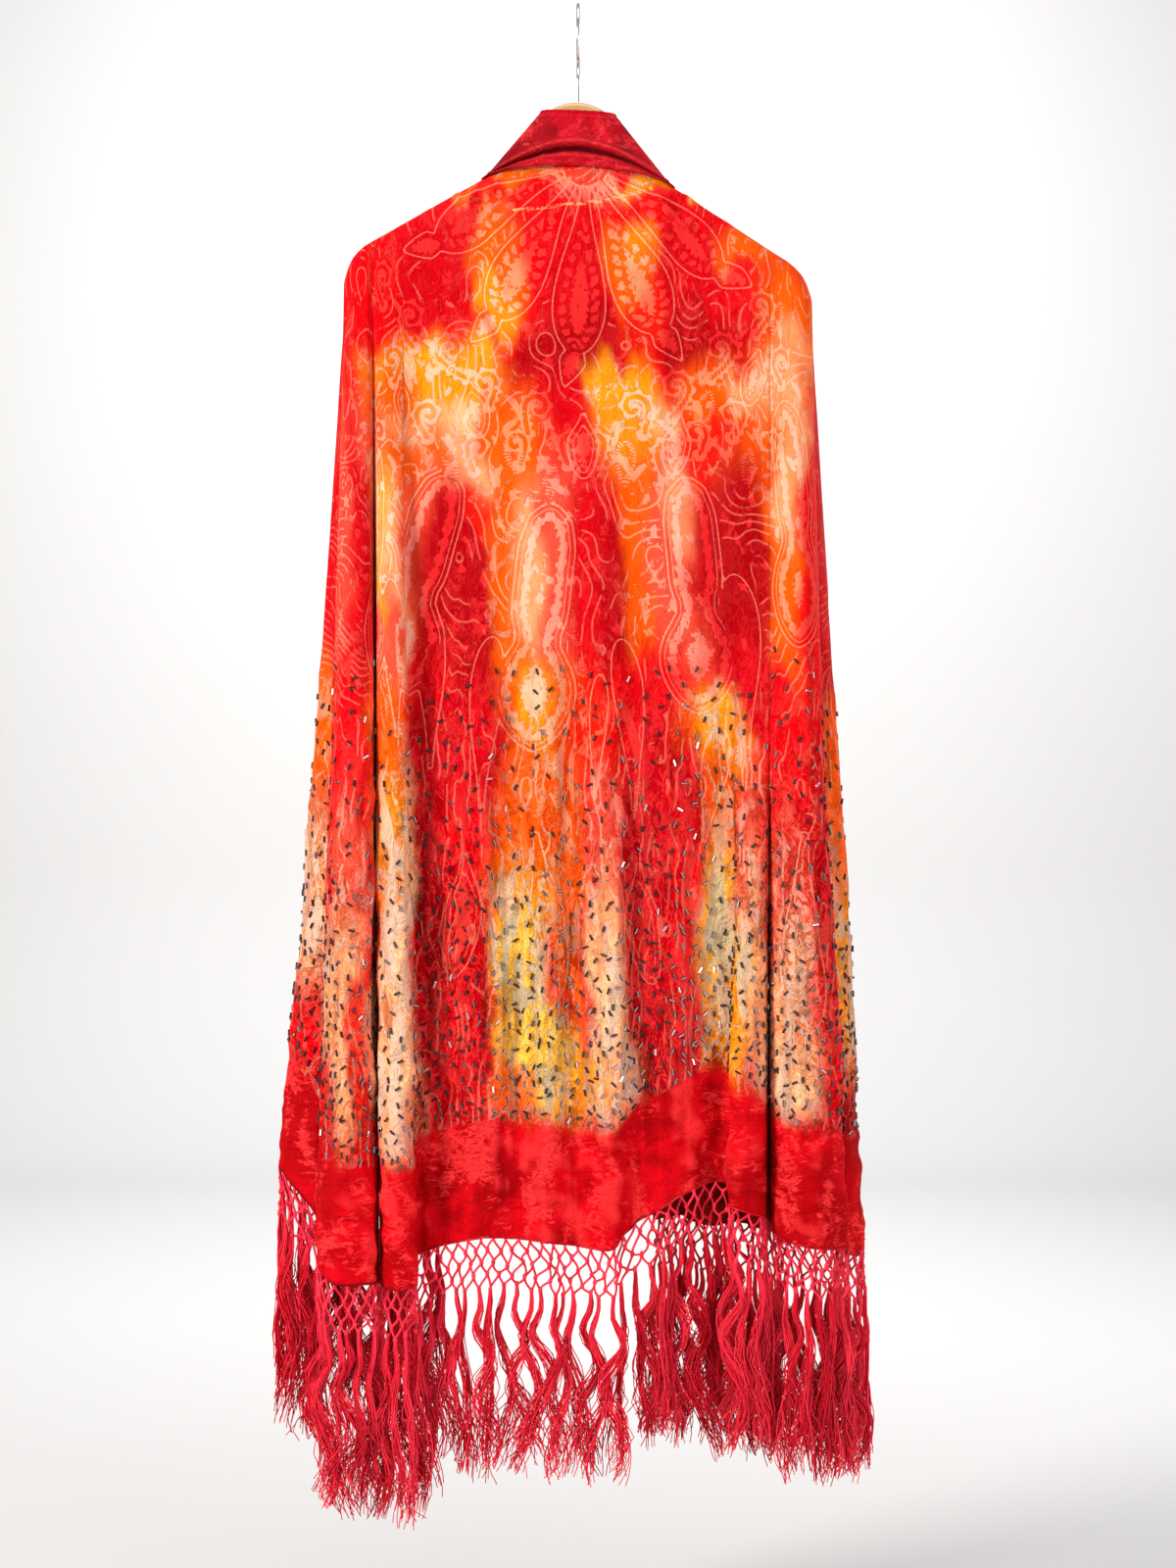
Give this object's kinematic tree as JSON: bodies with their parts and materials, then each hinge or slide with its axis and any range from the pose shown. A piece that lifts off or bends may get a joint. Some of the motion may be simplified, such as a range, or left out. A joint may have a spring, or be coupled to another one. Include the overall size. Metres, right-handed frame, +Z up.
{
  "type": "fringed shawl on a wooden coat hanger",
  "caption": "Long fringed burnout velvet shawl with a paisley pattern and scattered beads, draped open over a wooden coat hanger with a wire hook.",
  "frame": {"origin": "top of the inside of the hook, where a rail carries it", "axes": "+Z up, -Y towards the side that the wearer's back faces, +X to the right seen from that side"},
  "size_m": [0.5746, 0.1152, 1.4579],
  "materials": {
    "patterned_velvet": "burnout velvet",
    "plain_velvet": "crushed velvet",
    "silk": "glossy twisted yarn",
    "wood": "clear lacquer",
    "wire": "polished"
  },
  "bodies": {
    "root": {"shawl_back": "patterned_velvet", "shawl_left_front": "patterned_velvet", "shawl_right_front": "patterned_velvet", "neck_band": "plain_velvet", "fringe_back": "silk", "fringe_left_front": "silk", "fringe_right_front": "silk", "hanger_wood": "wood", "hanger_hook": "wire"}
  },
  "joints": []
}
